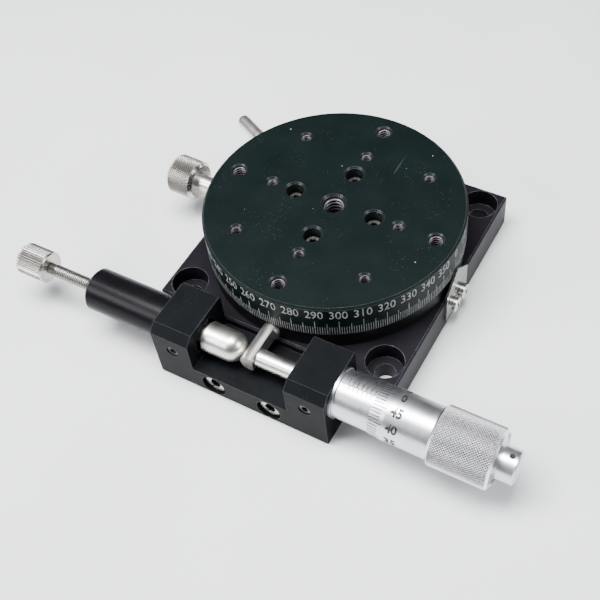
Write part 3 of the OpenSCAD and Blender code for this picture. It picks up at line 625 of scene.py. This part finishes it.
def tapped_threads():
    """A thin liner in each tapped hole. Its inner wall is a helix whose cut share rises from 0 to 1 over
    the first part of a turn."""
    bottom, rows_per_turn, first_part, around = 7.4, 12, 0.6, 48
    start_gap, inner_gap, outer_gap = 0.02, 0.02, 0.005
    holes = [(x, y, wall, chamfer, *tap)
             for places, wall, chamfer, tap in TABLE_HOLES if tap
             for x, y in places]
    for number, (x, y, wall, chamfer, pitch, depth) in enumerate(holes):
        rows = int((bottom - chamfer) / pitch * rows_per_turn)
        deep = np.linspace(chamfer + start_gap, bottom, rows)
        # The first turn's small cut share also gives it the roots' painted shade colour.
        grown = np.clip((deep - deep[0]) / (first_part * pitch), 0, 1)
        inner = [(wall - inner_gap, d, g) for d, g in zip(deep, grown)]
        outer = [(wall - outer_gap, deep[-1], 0.0), (wall - outer_gap, deep[0], 0.0)]
        liner = lathe(f"tapped_thread_{number:02d}", inner + outer, on_upright(x, y, TABLE_TOP), around,
                      screw_thread(pitch, depth), loop=True)
        finished(liner, thread_painted_light, "table_group")


finished(table_scale(), pale_fill, "table_group")
finished(table_figures(), pale_fill, "table_group")
finished(hole_mouths(), mouth_metal, "table_group")
tapped_threads()


# ---------------------------------------------------------------- micrometer: scales and grip

def sleeve(along):
    """The sleeve's radius at any place along it."""
    return np.full(np.shape(along), SLEEVE_R)


def barrel(along):
    """The thimble's outside: a straight bevel from its edge, then plain."""
    share = np.clip((np.asarray(along) - THIMBLE_EDGE) / THIMBLE_BEVEL, 0, 1)
    return THIMBLE_EDGE_R + (THIMBLE_R - THIMBLE_EDGE_R) * share


def sleeve_scale():
    """The datum line, with whole millimetres on its far side and halves on its near side. Each strip is
    split round the sleeve into equal pieces, so that it bends with it."""
    line_half_angle, line_start, line_end = 0.014, 21.75, 29.62
    half_width, wholes, halves, pieces = 0.075, 7, 6, 4
    fifth_reach, whole_reach, half_reach = math.radians(21), math.radians(14), math.radians(13)
    far, near = DATUM - line_half_angle, DATUM + line_half_angle
    strips = [(far, near, line_start, line_end)]
    for k in range(wholes):
        reach = fifth_reach if k % 5 == 0 else whole_reach
        mark = ZERO_MARK + k
        strips.append((DATUM - reach, far, mark - half_width, mark + half_width))
    for k in range(halves):
        mark = ZERO_MARK + k + 0.5
        strips.append((near, DATUM + half_reach, mark - half_width, mark + half_width))
    strips = [(a0 + (a1 - a0) * s / pieces, a0 + (a1 - a0) * (s + 1) / pieces, x0, x1)
              for a0, a1, x0, x1 in strips for s in range(pieces)]
    return marks("sleeve_scale", strips, sleeve, on_drive)


def thimble_scale():
    """A strip for each division round the bevelled edge, a little longer at each fifth. Its half angle is
    its half width divided by a radius on the bevel."""
    half_width, bevel_radius = 0.10, 5.6
    margin, plain_end, fifth_end = 0.05, 2.3, 3.05
    k = np.arange(DIVISIONS)
    angle = THIMBLE_ZERO - k * TAU / DIVISIONS
    half = half_width / bevel_radius
    start = np.full(DIVISIONS, THIMBLE_EDGE + margin)
    end = np.where(k % 5 == 0, THIMBLE_EDGE + fifth_end, THIMBLE_EDGE + plain_end)
    strips = np.stack([angle - half, angle + half, start, end], 1)
    return marks("thimble_scale", strips, barrel, on_drive)


def thimble_figures():
    """Every fifth division's number, running along the thimble."""
    widths = {1: 1.15, 2: 2.6}
    middle, tall = 34.9, 2.15
    items = [(str(k), THIMBLE_ZERO - k * TAU / DIVISIONS, middle, widths[len(str(k))], tall)
             for k in range(0, DIVISIONS, 5)]
    return figures("thimble_figures", items, barrel, on_drive, along_reads=True, bold=0.045)


def sleeve_figures():
    """The 0 and the 5 beside their marks."""
    angle, wide, tall = math.radians(62), 0.8, 1.35
    items = [(str(k), angle, ZERO_MARK + k, wide, tall) for k in (0, 5)]
    return figures("sleeve_figures", items, sleeve, on_drive, along_reads=True, bold=0.03)


def knurled_grip():
    """A sleeve on the thimble: bore, bevelled ends and a diamond knurl that fades out at the bevels."""
    low, high = 42.75, 55.95
    r, bore, bevel = 6.55, 5.76, 0.45
    round_count, long_count, steps, depth = 64, 20, 6, 0.27
    pitch = (high - low - 2 * bevel) / long_count
    outer = knurled_rows(low + bevel, high - bevel, pitch, steps, r)
    profile = [(bore, low, 0), (r - bevel, low, 0)] + outer + [(r - bevel, high, 0), (bore, high, 0)]
    knurl = diamond_knurl(round_count, low + bevel, pitch, depth)
    return lathe("knurled_grip", profile, on_drive, round_count * steps, knurl, loop=True, smooth=False)


def cap_hole_lining():
    """A thin dark cup in the end cap's wrench hole, painted shade for the hole: its cross-section carried
    round the hole's axis.
    """
    wall, bore, foot, lip, thick, around = 0.592, 0.56, 3.3, 0.08, 0.1, 32
    bottom = foot - thick
    outside = [(wall, lip, 0), (wall, foot, 0), (0, foot, 0)]
    inside = [(0, bottom, 0), (bore, bottom, 0), (bore, lip, 0)]
    place = on_upright(CAP_HOLE_X, DRIVE_Y, DRIVE_Z + CAP_R)
    return lathe("cap_hole_lining", outside + inside, place, around, loop=True)


def knurled_preload_knob():
    """A short drilled knob with straight V grooves: triangle waves of the angle, with a cut share that
    rises from 0 to 1 over the fade at both ends."""
    low, high, hole, hole_end = -63.45, -55.85, 1.38, -61.5
    r, outer_bevel, inner_bevel = 3.8, 0.5, 0.25
    count, steps, depth, fade, row_count = 42, 8, 0.22, 0.25, 25
    rows = np.linspace(low + outer_bevel, high - inner_bevel, row_count)
    cut = np.minimum(1, np.minimum(rows - rows[0], rows[-1] - rows) / fade)
    profile = ([(0, low, 0), (r - outer_bevel, low, 0)] + [(r, x, c) for x, c in zip(rows, cut)]
               + [(r - inner_bevel, high, 0), (hole, high, 0), (hole, hole_end, 0), (0, hole_end, 0)])

    def relief(angle, along):
        return depth * np.abs(2 * np.mod(angle * count / TAU, 1) - 1) + 0 * along
    return lathe("knurled_preload_knob", profile, on_drive, count * steps, relief, smooth=False)


def knurled_lock_knob():
    """A drilled knob with bevelled ends and a finer diamond knurl."""
    spoke, low, high, web = 178, 38.6, 46.1, 1.9
    r, hole, bevel = 4.85, 1.23, 0.8
    round_count, long_count, steps, depth = 46, 9, 6, 0.19
    pitch = (high - low - 2 * bevel) / long_count
    outer = knurled_rows(low + bevel, high - bevel, pitch, steps, r)
    profile = ([(0, high - web, 0), (hole, high - web, 0), (hole, low, 0), (r - bevel, low, 0)] + outer
               + [(r - bevel, high, 0), (0, high, 0)])
    knurl = diamond_knurl(round_count, low + bevel, pitch, depth)
    return lathe("knurled_lock_knob", profile, on_spoke(spoke), round_count * steps, knurl, smooth=False)


def threaded_preload_screw():
    """A screw with a plain neck at its knob and a helix from there to its tip."""
    tang, neck_end, tip = -61.45, -53.95, -34.4
    neck_r, r, tip_bevel, shoulder, margin = 1.35, 1.5, 0.3, 0.04, 0.05
    pitch, depth, rows, around = 0.5, 0.14, 300, 32
    body = np.linspace(neck_end + margin, tip - tip_bevel - margin, rows)
    neck = [(0, tang, 0), (neck_r, tang, 0), (neck_r, neck_end, 0), (r, neck_end + shoulder, 0)]
    end = [(r, tip - tip_bevel, 0), (r - tip_bevel, tip, 0), (0, tip, 0)]
    profile = neck + [(r, x, 1) for x in body] + end
    return lathe("threaded_preload_screw", profile, on_drive, around, screw_thread(pitch, depth))


finished(sleeve_scale(), dark_fill, "base")
finished(sleeve_figures(), dark_fill, "base")
finished(thimble_scale(), dark_fill, "thimble_group")
finished(thimble_figures(), dark_fill, "thimble_group")

# Painted shade: a dark cup lining the wrench hole.
finished(cap_hole_lining(), ring_black, "thimble_group")
grip = finished(knurled_grip(), knurled, "thimble_group")
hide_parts("thimble_grip")
lock = finished(knurled_lock_knob(), nickel, "lock_turner")
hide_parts("lock_knob")
knob = finished(knurled_preload_knob(), nickel, "preload_turner")
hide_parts("preload_knob")
preload = finished(threaded_preload_screw(), rolled, "preload_turner")
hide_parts("preload_screw")


# ---------------------------------------------------------------- floor, light, camera

def floor():
    """A flat pale sheet a hair under the stage, wide enough to fill the view."""
    half, gap = 2600.0, 0.01
    corners = [[-half, -half, -gap], [half, -half, -gap], [half, half, -gap], [-half, half, -gap]]
    sheet = spread("floor", np.array(corners), np.array([[0, 1, 2, 3]]))
    f = Finish("pale floor")
    cloud = f.ranged(f.noise(scale=14, detail=3), 0.3, 0.7)
    f.colour(f.mixed(cloud, (0.66, 0.67, 0.67), (0.71, 0.72, 0.72)))
    f.roughness(f.ranged(f.noise(scale=60, detail=3), 0.3, 0.7, 0.72, 0.82))
    sheet.data.materials.append(f.material)


def soft_light(name, place, aim, size, watts, tint):
    """A rectangular lamp at its place, turned to shine at its aim."""
    lamp = bpy.data.lights.new(name, "AREA")
    lamp.shape = "RECTANGLE"
    lamp.size, lamp.size_y = size[0] * MM, size[1] * MM
    lamp.energy = watts
    lamp.color = tint
    holder = bpy.data.objects.new(name, lamp)
    bpy.context.scene.collection.objects.link(holder)
    holder.location = Vector(place) * MM
    holder.rotation_euler = (Vector(aim) - Vector(place)).to_track_quat("-Z", "Y").to_euler()


def room():
    """A dim even surround and three soft lamps."""
    world = bpy.data.worlds.new("room")
    bpy.context.scene.world = world
    world.use_nodes = True
    background = world.node_tree.nodes["Background"]
    background.inputs["Color"].default_value = (0.80, 0.83, 0.85, 1)
    background.inputs["Strength"].default_value = 0.16
    soft_light("ceiling", place=(-70, -70, 480), aim=(0, -30, 10), size=(200, 400), watts=9.0,
               tint=(0.98, 0.99, 1.0))
    soft_light("window", place=(-330, -400, 330), aim=(0, -20, 10), size=(260, 200), watts=2.6,
               tint=(0.95, 0.93, 1.0))
    soft_light("side", place=(430, 40, 260), aim=(0, -20, 10), size=(200, 200), watts=1.6,
               tint=(0.97, 0.99, 1.0))


def camera():
    """A camera at its place, turned to look at its aim, then rolled about its own line of sight."""
    place, aim, roll = Vector((82.22, -131.86, 189.83)), Vector((1.42, -19.83, 11.0)), math.radians(7.98)
    data = bpy.data.cameras.new("camera")
    data.lens, data.sensor_width = 61.007, 36.0
    data.clip_start, data.clip_end = 0.01, 10.0
    holder = bpy.data.objects.new("camera", data)
    bpy.context.scene.collection.objects.link(holder)
    turn = (aim - place).to_track_quat("-Z", "Y").to_matrix().to_4x4()
    holder.matrix_world = Matrix.Translation(place * MM) @ turn @ Matrix.Rotation(-roll, 4, "Z")
    bpy.context.scene.camera = holder


floor()
room()
camera()

bpy.context.view_layer.update()
